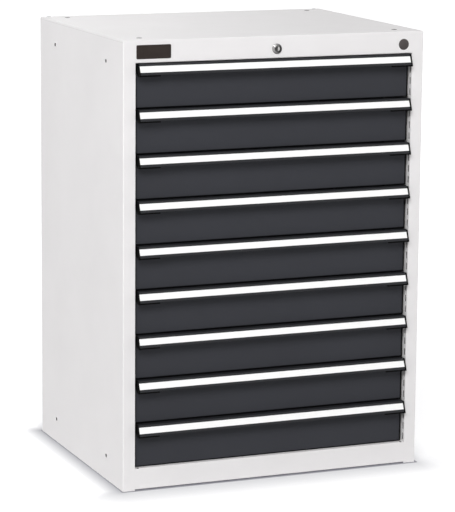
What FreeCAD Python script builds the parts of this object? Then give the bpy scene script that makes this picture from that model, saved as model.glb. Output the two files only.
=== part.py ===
import FreeCAD, Part
import math
import os

# A free-standing cabinet of folded sheet steel, with equal drawers one above the other.
# X runs to the right along the front, Y runs from the front to the back, and Z runs up.
# The origin is on the floor, in the middle of the housing. Sizes are in millimetres.

# Drawers
drawer_count = 9
drawer_pitch = 100.0
drawer_gap = 3.0            # dark line between one drawer front and the next
front_setback = 12.0        # drawer faces lie this far behind the frame
front_side_gap = 6.0        # drawer front to stile
front_sheet = 1.2
front_return = 14.0         # depth of the folded edges of a drawer front
front_corner_r = 2.0

# Housing
width = 717.0
depth = 572.0
top_rail_h = 50.0
bottom_rail_h = 50.0
stile_w = 28.0
sheet = 1.5
fold_r = 2.5                # outer radius of a fold in the housing
top_rim = 5.0               # height of the rounded rim round the top panel
rear_lip = 20.0
top_rail_return = 25.0
ledge_depth = 30.0
ledge_turn_down = 12.0
ledge_notch = 4.0           # relief at both ends of the ledge
toe_gap = 2.0               # the bottom rail ends this far above the floor
toe_return = 10.0
base_setback = 12.0
base_lip = 20.0

# Holes in the housing
top_hole_r = 6.5
top_hole_side = 52.5        # from the side of the housing
top_hole_end = 44.0         # from its front and its back
corner_hole_r = 5.0
corner_hole_side = 18.5
corner_hole_end = 9.0
side_hole_r = 4.0
side_hole_front = 111.0
side_hole_spacing_y = 350.0
side_hole_low = 55.0
side_hole_spacing_z = 890.0
base_hole_r = 5.5
base_hole_side = 80.0
base_hole_end = 70.0

# Slotted uprights
upright_depth = 45.0
slot_pitch = 25.0
slot_h = 15.0
slot_w = 5.0
front_slot_inset = 5.0      # from the edge of an upright to its first column of slots
hook_slot_inset = 35.0      # and to the column that the runners hook into

# Drawer tubs
tub_sheet = 1.2
tub_rear_space = 95.8       # back of a tub to the back of the housing, for the lock
tub_corner_r = 3.0
tub_above = 12.0            # drawer line to the top of the tub
tub_below = 6.0             # bottom of the tub to the next drawer line
hem_h = 8.0
hem_sheet = 1.2
divider_pitch = 17.0
divider_slot_w = 2.5
divider_slot_h = 20.0
divider_slot_drop = 10.0    # top of the tub to the top of a slot

# Telescopic runners
travel_short = 13.0         # depth of a tub less its travel
runner_sheet = 1.5
runner_h = 34.0
runner_r = 2.0
runner_flange = 8.0
runner_drop = 62.5          # drawer line to the middle of the runner
runner_front = 28.0         # from the front of the frame
runner_rear_space = 82.0    # end of the fixed channel to the back of the housing
member_sheet = 2.0
member_side_gap = 0.75      # middle member to the flanges on both sides
member_front_gap = 1.0      # middle member behind the front of the fixed channel
roller_gap = 0.4            # roller to flange
roller_end_gap = 0.6
roller_stop_gap = 3.0
axle_r = 3.0
axle_gap = 0.1
axle_head_r = 4.5
axle_head_t = 0.8
hook_t = 3.5
hook_gap = 0.5

# Handles
brow_reach = 3.5            # top front edge of the handle, in front of the frame
lip_reach = 14.0            # bottom edge of the handle, in front of the frame
slope_h = 24.1
handle_back = 20.0
handle_top_t = 2.0
handle_wall = 2.6
handle_edge_r = 1.4
lip_return = 6.0
lip_t = 2.0
leg_t = 2.2
leg_h = 18.0
cap_t = 3.4
cap_side_gap = 4.0          # cap to stile
cap_proud = 0.4
cap_drop = 2.4              # cap below the lip
cap_corner_r = 2.0
cap_tail_y = 5.0            # lower edge of the cap, in front of the frame
cap_face_drop = 17.0        # drawer line to where the cap meets the face
tongue_length = 47.0
tongue_set_in = 1.6         # tongue behind the lip's edge

# Label strips
label_start = 4.9           # from the brow, down the slope
label_h = 14.5
label_t = 0.6
label_set_in = 0.5          # handle surface to label surface
label_hold = 0.8            # edge of the strip that the handle covers

# Lock
lock_above = 21.0           # top of the opening to the axis of the lock
collar_r = 11.0
collar_t = 2.5
collar_chamfer = 0.8
cylinder_r = 9.0
cylinder_length = 22.0
cylinder_gap = 0.2
nut_sides = 6
nut_across = 24.0
nut_t = 5.0
barrel_r = 6.0
barrel_gap = 0.1
barrel_recess = 0.3
barrel_length = 26.0
keyway_w = 1.4
keyway_h = 7.5
keyway_depth = 8.0
shaft_r = 4.0
lock_stroke = 12.0
crank_angle = 45.0          # the crank lies this far below level at rest
crank_t = 3.0
crank_hub_r = 6.0
crank_pin_r = 2.5
crank_pin_end_r = 5.0
crank_pin_gap = 0.5
bar_w = 30.0
bar_t = 3.0
bar_bottom = 40.0
bar_head = 15.0             # bar above the lock axis
catch_w = 24.0
catch_t = 2.0
catch_drop = 40.0           # drawer line to the top of the catch
catch_length = 24.0
catch_lip_h = 8.0
catch_foot_h = 14.0
catch_fold_r = 2.5
catch_to_bar = 6.0
hook_w = 20.0
lock_hook_t = 3.0
lock_hook_lip_h = 8.0
lock_hook_play = 1.0
lock_hook_over = 1.0        # hook below the tongue of the catch when locked
channel_sheet = 2.0
channel_fold_r = 3.0
channel_gap = 0.4
channel_cover = 4.0         # channel in front of the bar's back face
guide_every = 3
guide_above_line = 10.0
stud_r = 3.0
stud_gap = 0.4
stud_head_r = 5.5
stud_head_t = 1.5
bracket_w = 30.0
bracket_t = 3.0
bracket_before_crank = 18.0
bracket_below_shaft = 12.0
bracket_foot = 16.0
bracket_gap = 0.15

# Nameplate and plug
plate_w = 79.5
plate_h = 30.2
plate_t = 0.8
plate_corner_r = 2.6
plate_side = 30.0
plate_above = 9.0
plug_r = 12.5
plug_side = 49.0
plug_above = 20.5
plug_rim_t = 1.0
plug_dome_t = 1.4
plug_stem_r = 9.8
plug_stem_gap = 0.2
plug_stem_length = 9.0

# Modelling allowances
cut_margin = 1.0            # a cutting shape runs this far past what it cuts
edge_margin = 0.1           # an edge is picked when its middle is past a limit by this much
straight_turn = 1e-9        # a path that turns less than this runs straight on

# Worked out from the sizes above
height = bottom_rail_h + drawer_count * drawer_pitch + top_rail_h
opening_top = height - top_rail_h
half_width = width / 2
half_opening = half_width - stile_w
front = -depth / 2
back = depth / 2
side_inside = half_width - sheet
fold_inside = half_width - fold_r
back_inside = back - 2 * sheet
top_inside = height - sheet
face_y = front + front_setback
half_front = half_opening - front_side_gap
half_cap = half_opening - cap_side_gap
half_handle = half_cap - cap_t
tub_front = face_y + front_sheet
tub_back = back - tub_rear_space
tub_depth = tub_back - tub_front
tub_h = drawer_pitch - tub_above - tub_below
travel = tub_depth - travel_short
runner_back = depth - runner_rear_space
member_space = member_sheet + 2 * member_side_gap
half_tub = half_opening - 2 * (runner_sheet + runner_flange) - member_space
member_in = half_tub + runner_sheet + runner_flange + member_side_gap
member_out = member_in + member_sheet
member_start = runner_front + member_front_gap
member_end = member_start + travel
member_shift = travel / 2
roller_r = runner_h / 2 - runner_sheet - roller_gap
hook_y = front + sheet + hook_slot_inset
rear_upright_front = front + runner_back + hook_slot_inset - upright_depth
lock_z = opening_top + lock_above
crank_r = lock_stroke / (2 * math.sin(math.radians(crank_angle)))
crank_x = -crank_r * math.cos(math.radians(crank_angle))
pin_z = lock_z - lock_stroke / 2
bar_front = tub_back + catch_length + catch_to_bar
bar_back = bar_front + bar_t
crank_y = bar_front - 2 * crank_t


def drawer_line(index):
    """Height of the line between one drawer and the next above it; the top drawer is 0."""
    return opening_top - index * drawer_pitch


def on_floor(a, b):
    return FreeCAD.Vector(a, b, 0)


def on_side(a, b):
    return FreeCAD.Vector(0, a, b)


def on_front(a, b):
    return FreeCAD.Vector(a, 0, b)


def box(x, y, z):
    """Box between two limits along each axis."""
    size = (x[1] - x[0], y[1] - y[0], z[1] - z[0])
    return Part.makeBox(size[0], size[1], size[2], FreeCAD.Vector(x[0], y[0], z[0]))


def rod(radius, y, x, z):
    """Round bar along Y between two limits, with its axis at x and z."""
    start = FreeCAD.Vector(x, y[0], z)
    return Part.makeCylinder(radius, y[1] - y[0], start, FreeCAD.Vector(0, 1, 0))


def post(radius, z, x, y):
    """Round bar along Z between two limits, with its axis at x and y."""
    start = FreeCAD.Vector(x, y, z[0])
    return Part.makeCylinder(radius, z[1] - z[0], start, FreeCAD.Vector(0, 0, 1))


def rounded_corner(before, corner, after, radius):
    """Start, middle and end of the arc that rounds one corner."""
    to_before = (before - corner).normalize()
    to_after = (after - corner).normalize()
    half_angle = to_before.getAngle(to_after) / 2
    inward = (to_before + to_after).normalize()
    run = radius / math.tan(half_angle)
    middle = corner + inward * (radius / math.sin(half_angle) - radius)
    return corner + to_before * run, middle, corner + to_after * run


def outline(corners, plane):
    """Face inside corners of (a, b, radius), drawn in one plane."""
    points = [plane(a, b) for a, b, _ in corners]
    edges = []
    pen = None
    for i, corner in enumerate(points):
        radius = corners[i][2]
        if radius > 0:
            after = points[(i + 1) % len(points)]
            start, middle, end = rounded_corner(points[i - 1], corner, after, radius)
            arc = Part.Arc(start, middle, end).toShape()
        else:
            start, arc, end = corner, None, corner
        if pen is None:
            first = start
        else:
            edges.append(Part.makeLine(pen, start))
        if arc is not None:
            edges.append(arc)
        pen = end
    edges.append(Part.makeLine(pen, first))
    return Part.Face(Part.Wire(edges))


def prism(corners, plane, start, run):
    """Solid with the given outline, from start to start + run along the plane's normal."""
    along = plane(1, 0).cross(plane(0, 1))
    if plane is on_front:
        along = -along
    face = outline(corners, plane)
    face.translate(along * start)
    return face.extrude(along * run)


def folded(path, thick, radius):
    """Outline of a folded sheet. The path is one of its surfaces, and the sheet lies to its left."""
    near = []
    far = []
    steps = []
    for (a0, b0), (a1, b1) in zip(path, path[1:]):
        length = math.hypot(a1 - a0, b1 - b0)
        steps.append(((a1 - a0) / length, (b1 - b0) / length))
    for i, (a, b) in enumerate(path):
        into = steps[max(i - 1, 0)]
        out = steps[min(i, len(steps) - 1)]
        turn = into[0] * out[1] - into[1] * out[0]
        square = 1 + into[0] * out[0] + into[1] * out[1]
        shift_a = -(into[1] + out[1]) * thick / square
        shift_b = (into[0] + out[0]) * thick / square
        inner = radius - thick
        near_r, far_r = (radius, inner) if turn > 0 else (inner, radius)
        if abs(turn) < straight_turn:
            near_r = far_r = 0
        near.append((a, b, near_r))
        far.append((a + shift_a, b + shift_b, far_r))
    return near + far[::-1]


def mirrored(shape):
    """The same shape on the other side of the housing."""
    return shape.mirror(FreeCAD.Vector(0, 0, 0), FreeCAD.Vector(1, 0, 0))


def both_sides(solids):
    return solids + [mirrored(solid) for solid in solids]


def moved_up(solids, rise):
    """Copies of solids at another height."""
    return [solid.translated(FreeCAD.Vector(0, 0, rise)) for solid in solids]


def rounded_box(x, y, z, radius, edge_is_rounded):
    """Box with one radius on the edges that the test picks by their middle point."""
    solid = box(x, y, z)
    edges = [edge for edge in solid.Edges if edge_is_rounded(edge.CenterOfMass)]
    return solid.makeFillet(radius, edges)


def split_apart(solid, blocks):
    """The same shape as several touching solids, one inside each block."""
    return [part for block in blocks for part in solid.common(block).Solids]


def side_panel():
    """Left side: outer sheet, front stile and rear lip in one piece."""
    x = -half_width
    path = [(x + rear_lip, back), (x, back), (x, front), (-half_opening, front)]
    panel = prism(folded(path, sheet, fold_r), on_floor, 0, height - top_rim)
    for y in (front + side_hole_front, front + side_hole_front + side_hole_spacing_y):
        for z in (side_hole_low, side_hole_low + side_hole_spacing_z):
            start = FreeCAD.Vector(x - sheet, y, z)
            panel = panel.cut(Part.makeCylinder(side_hole_r, 3 * sheet, start, FreeCAD.Vector(1, 0, 0)))
    return panel


def top_panel():
    """Shallow lid with rounded edges and the holes for what stands on it."""
    low = height - top_rim
    x, y = (-half_width, half_width), (front, back)
    lid = rounded_box(x, y, (low, height), fold_r, lambda middle: middle.z > low + edge_margin)
    x, y, z = (-side_inside, side_inside), (front + sheet, back - sheet), (low, top_inside)
    lid = lid.cut(rounded_box(x, y, z, fold_r - sheet, lambda middle: middle.z > low + edge_margin))
    cuts = []
    for side in (-1, 1):
        for end in (-1, 1):
            x = side * (half_width - top_hole_side)
            cuts.append(post(top_hole_r, (low, height + sheet), x, end * (back - top_hole_end)))
        x = side * (half_width - corner_hole_side)
        cuts.append(post(corner_hole_r, (low, height + sheet), x, back - corner_hole_end))
    return lid.cut(cuts)


def back_panel():
    return box((-fold_inside, fold_inside), (back_inside, back_inside + sheet), (0, height - fold_r))


def base_panel():
    """Tray on the floor, with a lip at the front and one at the back, and four fixing holes."""
    start = front + base_setback
    path = [(start, base_lip), (start, 0), (back_inside, 0), (back_inside, base_lip)]
    tray = prism(folded(path, sheet, fold_r), on_side, -half_opening, 2 * half_opening)
    plate = box((-side_inside, side_inside), (start + fold_r, back_inside - fold_r), (0, sheet))
    tray = tray.fuse(plate).removeSplitter()
    cuts = []
    for x in (-half_width + base_hole_side, half_width - base_hole_side):
        for y in (front + base_hole_end, back - base_hole_end):
            cuts.append(post(base_hole_r, (-sheet, 2 * sheet), x, y))
    return tray.cut(cuts)


def top_rail():
    """Rail above the drawers, with the holes for the lock and the plug."""
    path = [(front, height - top_rim), (front, opening_top), (front + top_rail_return, opening_top)]
    rail = prism(folded(path, sheet, fold_r), on_side, -half_opening, 2 * half_opening)
    through = (front - sheet, front + 2 * sheet)
    lock_hole = rod(cylinder_r + cylinder_gap, through, 0, lock_z)
    plug_hole = rod(plug_stem_r + plug_stem_gap, through, half_width - plug_side, opening_top + plug_above)
    return rail.cut([lock_hole, plug_hole])


def bottom_rail():
    """Rail below the drawers, with a ledge that runs in under the lowest front."""
    ledge_back = front + ledge_depth
    path = [
        (ledge_back, bottom_rail_h - ledge_turn_down),
        (ledge_back, bottom_rail_h),
        (front, bottom_rail_h),
        (front, toe_gap),
        (front + toe_return, toe_gap),
    ]
    rail = prism(folded(path, sheet, fold_r), on_side, -half_opening, 2 * half_opening)
    y = (front + fold_r, front + fold_r + ledge_notch)
    z = (bottom_rail_h - 2 * sheet, bottom_rail_h + sheet)
    notch = box((-half_opening - sheet, -half_opening + ledge_notch), y, z)
    return rail.cut([notch, mirrored(notch)])


def slotted_upright(start, slot_columns):
    """Left upright, open towards the side panel, with columns of slots at the given Y."""
    end = start + upright_depth
    path = [(-fold_inside, start), (-half_opening, start), (-half_opening, end), (-fold_inside, end)]
    upright = prism(folded(path, sheet, fold_r), on_floor, sheet, height - fold_r - sheet)
    x = (-half_opening - 2 * sheet, -half_opening + sheet)
    slot_count = int((opening_top - bottom_rail_h) / slot_pitch)
    cuts = []
    for i in range(slot_count):
        z = opening_top - (i + 0.5) * slot_pitch
        for y in slot_columns:
            cuts.append(box(x, (y - slot_w / 2, y + slot_w / 2), (z - slot_h / 2, z + slot_h / 2)))
    return upright.cut(cuts)


def slotted_uprights():
    """Four uprights; the front pair shows its first column of slots beside the drawers."""
    first = front + sheet
    front_columns = (first + front_slot_inset, hook_y)
    last = rear_upright_front + upright_depth
    rear_columns = (last - hook_slot_inset, last - front_slot_inset)
    front_upright = slotted_upright(first, front_columns)
    rear_upright = slotted_upright(rear_upright_front, rear_columns)
    return both_sides([front_upright, rear_upright])


def fixed_runner():
    """Left channel for the top drawer, open towards the drawer, with two hooks in the uprights."""
    middle = drawer_line(0) - runner_drop
    low, high = middle - runner_h / 2, middle + runner_h / 2
    edge = -half_opening + runner_sheet + runner_flange
    path = [(edge, high), (-half_opening, high), (-half_opening, low), (edge, low)]
    section = folded(path, runner_sheet, runner_r)
    channel = prism(section, on_front, front + runner_front, runner_back - runner_front)
    x = (-half_opening - hook_t, -half_opening + runner_sheet / 2)
    half_w = slot_w / 2 - hook_gap
    half_h = slot_h / 2 - hook_gap
    for y in (hook_y, rear_upright_front + upright_depth - hook_slot_inset):
        hook = box(x, (y - half_w, y + half_w), (middle - half_h, middle + half_h))
        channel = channel.fuse(hook)
    return channel.removeSplitter()


def fixed_runners():
    top_runner = fixed_runner()
    runners = []
    for i in range(drawer_count):
        runners += moved_up([top_runner], -i * drawer_pitch)
    return both_sides(runners)


def tub_outline(inset, radius):
    """Corners of a tub seen from above, set in from its outside."""
    x = half_tub - inset
    y0, y1 = tub_front + inset, tub_back - inset
    return [(-x, y0, radius), (x, y0, radius), (x, y1, radius), (-x, y1, radius)]


def divider_places(start, end):
    """Middles of the divider slots along a wall between two limits."""
    inside = end - start - 2 * (tub_sheet + hem_sheet)
    modules = int(inside / divider_pitch)
    first = (start + end - modules * divider_pitch) / 2
    return [first + i * divider_pitch for i in range(1, modules)]


def tub():
    """Open drawer tub with hemmed, slotted walls, as a floor and four walls that touch."""
    high = drawer_line(0) - tub_above
    low = high - tub_h
    floor_top = low + tub_sheet
    inner_r = tub_corner_r - tub_sheet
    body = prism(tub_outline(0, tub_corner_r), on_floor, low, tub_h)
    body = body.cut(prism(tub_outline(tub_sheet, inner_r), on_floor, floor_top, high - hem_h - floor_top))
    body = body.cut(prism(tub_outline(tub_sheet + hem_sheet, inner_r), on_floor, floor_top, tub_h))
    z = (high - divider_slot_drop - divider_slot_h, high - divider_slot_drop)
    cuts = []
    for middle in divider_places(-half_tub, half_tub):
        x = (middle - divider_slot_w / 2, middle + divider_slot_w / 2)
        cuts.append(box(x, (tub_front - cut_margin, tub_back + cut_margin), z))
    for middle in divider_places(tub_front, tub_back):
        y = (middle - divider_slot_w / 2, middle + divider_slot_w / 2)
        cuts.append(box((-half_tub - cut_margin, half_tub + cut_margin), y, z))
    wall = tub_sheet + hem_sheet
    x, y, z = (-half_tub, half_tub), (tub_front, tub_back), (floor_top, high)
    between = (x[0] + wall, x[1] - wall)
    blocks = [
        box(x, y, (low, floor_top)),
        box((x[0], between[0]), y, z),
        box((between[1], x[1]), y, z),
        box(between, (y[0], y[0] + wall), z),
        box(between, (y[1] - wall, y[1]), z),
    ]
    return split_apart(body.cut(cuts), blocks)


def drawer_channel():
    """Left runner channel that is fixed to the tub of the top drawer."""
    middle = drawer_line(0) - runner_drop
    low, high = middle - runner_h / 2, middle + runner_h / 2
    edge = -half_tub - runner_sheet - runner_flange
    path = [(edge, low), (-half_tub, low), (-half_tub, high), (edge, high)]
    section = folded(path, runner_sheet, runner_r)
    return prism(section, on_front, front + runner_front, tub_back - front - runner_front)


def drawer_catch():
    """Bracket on the back of the top drawer's tub that the lock bar holds."""
    top = drawer_line(0) - catch_drop
    end = tub_back + catch_length
    tail = top - catch_t - catch_lip_h
    foot = top - catch_t - catch_foot_h
    path = [(tub_back, foot), (tub_back, top), (end, top), (end, tail)]
    section = folded([(y, z) for y, z in reversed(path)], catch_t, catch_fold_r)
    return prism(section, on_side, -catch_w / 2, catch_w)


def drawer_box():
    return tub() + both_sides([drawer_channel()]) + [drawer_catch()]


def drawer_front():
    """Front of the top drawer, a pan with its edges folded back, as a face and four edges."""
    high = drawer_line(0) - drawer_gap / 2 - handle_top_t
    low = drawer_line(1) + drawer_gap / 2
    end = face_y + front_return
    x, y, z = (-half_front, half_front), (face_y, end), (low, high)
    pan = rounded_box(x, y, z, front_corner_r, lambda middle: middle.y < end - edge_margin)
    inner = half_front - front_sheet
    x, y, z = (-inner, inner), (tub_front, end), (low + front_sheet, high - front_sheet)
    inner_r = front_corner_r - front_sheet
    pan = pan.cut(rounded_box(x, y, z, inner_r, lambda middle: middle.y < end - edge_margin))
    x = (-half_front, half_front)
    y = (face_y + front_corner_r, end)
    blocks = [
        box(x, (face_y, y[0]), (low, high)),
        box(x, y, (low, z[0])),
        box(x, y, (z[1], high)),
        box((x[0], -inner), y, z),
        box((inner, x[1]), y, z),
    ]
    return split_apart(pan, blocks)


def slope_point(along, inward):
    """Point of the top handle's section, measured down its slope and in from its surface."""
    fall = math.hypot(lip_reach - brow_reach, slope_h)
    down_y = -(lip_reach - brow_reach) / fall
    down_z = -slope_h / fall
    y = front - brow_reach + along * down_y - inward * down_z
    z = drawer_line(0) - drawer_gap / 2 + along * down_z + inward * down_y
    return y, z


def slope_at(z, inward):
    """Y where the handle's slope, set in by a distance, crosses a height."""
    y0, z0 = slope_point(0, inward)
    y1, z1 = slope_point(1, inward)
    return y0 + (z - z0) * (y1 - y0) / (z1 - z0)


def handle_profile():
    """Profile along the top drawer's upper edge, with a groove for the label."""
    top = drawer_line(0) - drawer_gap / 2
    bottom = top - slope_h
    under = top - handle_top_t
    label_end = label_start + label_h
    seat = label_set_in + label_t
    lip_top = bottom + lip_t
    groove = [
        (label_start, 0),
        (label_start, label_set_in),
        (label_start - label_hold, label_set_in),
        (label_start - label_hold, seat),
        (label_end + label_hold, seat),
        (label_end + label_hold, label_set_in),
        (label_end, label_set_in),
        (label_end, 0),
    ]
    corners = [(front + handle_back, top, 0), (front - brow_reach, top, handle_edge_r)]
    corners += [slope_point(along, inward) + (0,) for along, inward in groove]
    corners += [
        (front - lip_reach, bottom, handle_edge_r),
        (front - lip_reach + lip_return, bottom, 0),
        (front - lip_reach + lip_return, lip_top, 0),
        (slope_at(lip_top, handle_wall), lip_top, 0),
        (slope_at(under, handle_wall), under, 0),
        (face_y - leg_t, under, 0),
        (face_y - leg_t, under - leg_h, 0),
        (face_y, under - leg_h, 0),
        (face_y, under, 0),
        (front + handle_back, under, 0),
    ]
    return prism(corners, on_side, -half_handle, 2 * half_handle)


def handle_cap():
    """Left end cap of the top handle, with its tongue under the lip."""
    top = drawer_line(0) - drawer_gap / 2
    lip_z = top - slope_h
    low = lip_z - cap_drop
    corners = [
        (face_y, top, 0),
        (front - brow_reach - cap_proud, top, handle_edge_r),
        (front - lip_reach - cap_proud, lip_z, 0),
        (front - lip_reach - cap_proud, low, cap_corner_r),
        (front - cap_tail_y, low, 0),
        (face_y, drawer_line(0) - cap_face_drop, 0),
    ]
    cap = prism(corners, on_side, -half_cap, cap_t)
    y = (front - lip_reach + tongue_set_in, front - cap_tail_y)
    tongue = box((-half_handle, -half_handle + tongue_length), y, (low, lip_z))
    return cap.fuse(tongue).removeSplitter()


def drawer_handle():
    return [handle_profile()] + both_sides([handle_cap()])


def drawer_label():
    """Label strip in the groove of the top handle."""
    start = label_start - label_hold
    end = label_start + label_h + label_hold
    seat = label_set_in + label_t
    section = [(start, label_set_in), (start, seat), (end, seat), (end, label_set_in)]
    corners = [slope_point(along, inward) + (0,) for along, inward in section]
    return prism(corners, on_side, -half_handle, 2 * half_handle)


def member_axle(y, start, end):
    """Riveted axle of one roller, from the middle member's face to its head."""
    middle = drawer_line(0) - runner_drop
    direction = FreeCAD.Vector(1 if end > start else -1, 0, 0)
    length = abs(end - start)
    pin = Part.makeCylinder(axle_r, length, FreeCAD.Vector(start, y, middle), direction)
    head_start = FreeCAD.Vector(end, y, middle) - direction * axle_head_t
    head = Part.makeCylinder(axle_head_r, axle_head_t, head_start, direction)
    return pin.fuse(head)


def member_roller(y, start, end):
    """Roller between the middle member and the head of its axle."""
    middle = drawer_line(0) - runner_drop
    direction = FreeCAD.Vector(1 if end > start else -1, 0, 0)
    at = FreeCAD.Vector(start, y, middle)
    length = abs(end - start)
    ring = Part.makeCylinder(roller_r, length, at, direction)
    return ring.cut(Part.makeCylinder(axle_r + axle_gap, length, at, direction))


def middle_member():
    """Left middle member of the top drawer: a strip with two rollers on each face."""
    middle = drawer_line(0) - runner_drop
    y = (front + member_start, front + member_end)
    strip = box((-member_out, -member_in), y, (middle - runner_h / 2, middle + runner_h / 2))
    reach = roller_r + roller_stop_gap
    outer_y = (front + runner_front + member_shift + reach, front + member_end - reach)
    inner_y = (front + member_start + reach, tub_back - member_shift - reach)
    outer_end = -half_opening + runner_sheet + roller_end_gap
    inner_end = -half_tub - runner_sheet - roller_end_gap
    rollers = []
    for ys, start, end in ((outer_y, -member_out, outer_end), (inner_y, -member_in, inner_end)):
        away = 1 if end > start else -1
        for y in ys:
            strip = strip.fuse(member_axle(y, start, end))
            inner_face = start + away * axle_gap
            rollers.append(member_roller(y, inner_face, end - away * (axle_head_t + axle_gap)))
    return [strip.removeSplitter()] + rollers


def lock_cylinder():
    """Collar, threaded body and nut of the lock, fixed in the top rail."""
    through = (front - collar_t - cut_margin, front + cylinder_length + cut_margin)
    collar = rod(collar_r, (front - collar_t, front), 0, lock_z)
    rim = [edge for edge in collar.Edges if edge.CenterOfMass.y < front - collar_t + edge_margin]
    collar = collar.makeChamfer(collar_chamfer, [edge for edge in rim if edge.Closed])
    body = rod(cylinder_r, (front, front + cylinder_length), 0, lock_z)
    corners = []
    point_r = nut_across / (2 * math.cos(math.pi / nut_sides))
    for i in range(nut_sides):
        angle = 2 * math.pi * i / nut_sides
        corners.append((point_r * math.cos(angle), lock_z + point_r * math.sin(angle), 0))
    nut = prism(corners, on_front, front + sheet, nut_t)
    nut = nut.cut(rod(cylinder_r, through, 0, lock_z))
    return [collar.fuse(body).removeSplitter().cut(rod(barrel_r + barrel_gap, through, 0, lock_z)), nut]


def lock_barrel():
    """Barrel with its keyway, and the shaft with the crank that lifts the lock bar."""
    start = front - collar_t + barrel_recess
    end = start + barrel_length
    barrel = rod(barrel_r, (start, end), 0, lock_z)
    x = (-keyway_w / 2, keyway_w / 2)
    z = (lock_z - keyway_h / 2, lock_z + keyway_h / 2)
    barrel = barrel.cut(box(x, (start - cut_margin, start + keyway_depth), z))
    shaft = rod(shaft_r, (end, crank_y), 0, lock_z)
    hub = rod(crank_hub_r, (crank_y, crank_y + crank_t), 0, lock_z)
    web = rod(crank_pin_end_r, (crank_y, crank_y + crank_t), crank_x, pin_z)
    pin = rod(crank_pin_r, (crank_y + crank_t, bar_back + channel_gap), crank_x, pin_z)
    return [barrel, shaft.fuse([hub, web, pin]).removeSplitter()]


def guide_heights():
    """Heights of the studs that guide the lock bar."""
    lines = range(0, drawer_count, guide_every)
    return [bottom_rail_h + i * drawer_pitch + guide_above_line for i in lines]


def lock_hook(line):
    """Hook of the lock bar for the drawer below a drawer line."""
    tongue_under = line - catch_drop - catch_t
    lip_top = tongue_under - lock_hook_over - lock_stroke
    lip_low = lip_top - lock_hook_lip_h
    y1 = tub_back + catch_length - catch_t - lock_hook_play
    y0 = y1 - lock_hook_t
    arm = box((-hook_w / 2, hook_w / 2), (y0, bar_front), (lip_low - lock_hook_t, lip_low))
    lip = box((-hook_w / 2, hook_w / 2), (y0, y1), (lip_low, lip_top))
    return arm.fuse(lip)


def lock_bar():
    """Upright bar behind the drawers with one hook for each of them."""
    bar = box((-bar_w / 2, bar_w / 2), (bar_front, bar_back), (bar_bottom, lock_z + bar_head))
    bar = bar.fuse([lock_hook(drawer_line(i)) for i in range(drawer_count)])
    y = (bar_front - cut_margin, bar_back + cut_margin)
    cuts = []
    slot_r = stud_r + stud_gap
    for z in guide_heights():
        cuts.append(rod(slot_r, y, 0, z))
        cuts.append(rod(slot_r, y, 0, z - lock_stroke))
        cuts.append(box((-slot_r, slot_r), y, (z - lock_stroke, z)))
    reach = crank_pin_r + crank_pin_gap
    cuts.append(box((-crank_r - reach, crank_x + reach), y, (pin_z - reach, pin_z + reach)))
    return bar.cut(cuts).removeSplitter()


def lock_channel():
    """Channel that holds the lock bar, its guide studs, and the bracket of the lock shaft."""
    inner = bar_w / 2 + channel_gap
    outer = inner + channel_sheet
    start = bar_back - channel_cover
    path = [(outer, start), (outer, back_inside), (-outer, back_inside), (-outer, start)]
    section = folded(path, channel_sheet, channel_fold_r)
    channel = prism(section, on_floor, base_lip, top_inside - base_lip)
    solids = [channel]
    plate_y = (bar_back + channel_gap, bar_back + channel_gap + channel_sheet)
    for z in guide_heights():
        plate = box((-inner, inner), plate_y, (z - stud_head_r, z + stud_head_r))
        head_back = bar_front - channel_gap
        stud = rod(stud_r, (head_back, plate_y[0]), 0, z)
        head = rod(stud_head_r, (head_back - stud_head_t, head_back), 0, z)
        solids.append(plate.fuse([stud, head]).removeSplitter())
    y0 = crank_y - bracket_before_crank
    x = (-bracket_w / 2, bracket_w / 2)
    hanger = box(x, (y0, y0 + bracket_t), (lock_z - bracket_below_shaft, top_inside))
    foot = box(x, (y0 - bracket_foot, y0), (top_inside - bracket_t, top_inside))
    bearing = rod(shaft_r + bracket_gap, (y0 - cut_margin, y0 + bracket_t + cut_margin), 0, lock_z)
    solids.append(hanger.fuse(foot).removeSplitter().cut(bearing))
    return solids


def nameplate():
    """Bare plate with rounded corners at the left end of the top rail."""
    x0 = -half_width + plate_side
    z0 = opening_top + plate_above
    r = plate_corner_r
    x1, z1 = x0 + plate_w, z0 + plate_h
    corners = [(x0, z0, r), (x1, z0, r), (x1, z1, r), (x0, z1, r)]
    return prism(corners, on_front, front - plate_t, plate_t)


def cover_plug():
    """Domed plug in the spare hole at the right end of the top rail."""
    x = half_width - plug_side
    z = opening_top + plug_above
    rim = rod(plug_r, (front - plug_rim_t, front), x, z)
    sphere_r = (plug_r ** 2 + plug_dome_t ** 2) / (2 * plug_dome_t)
    centre_y = front - plug_rim_t - plug_dome_t + sphere_r
    ball = Part.makeSphere(sphere_r, FreeCAD.Vector(x, centre_y, z))
    dome = ball.common(rod(plug_r, (front - plug_rim_t - plug_dome_t, front - plug_rim_t), x, z))
    stem = rod(plug_stem_r, (front, front + plug_stem_length), x, z)
    return rim.fuse([dome, stem]).removeSplitter()


def save(name, solids):
    """Writes one part, which may hold several solids."""
    group = solids if isinstance(solids, list) else [solids]
    Part.makeCompound(group).exportStep("parts/" + name + ".step")


os.makedirs("parts", exist_ok=True)

left_side = side_panel()

save("side_panel_left", left_side)
save("side_panel_right", mirrored(left_side))
save("top_panel", top_panel())
save("back_panel", back_panel())
save("base_panel", base_panel())
save("top_rail", top_rail())
save("bottom_rail", bottom_rail())
save("slotted_uprights", slotted_uprights())
save("fixed_runners", fixed_runners())
save("lock_cylinder", lock_cylinder())
save("lock_barrel", lock_barrel())
save("lock_bar", lock_bar())
save("lock_channel", lock_channel())
save("nameplate", nameplate())
save("cover_plug", cover_plug())

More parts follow.
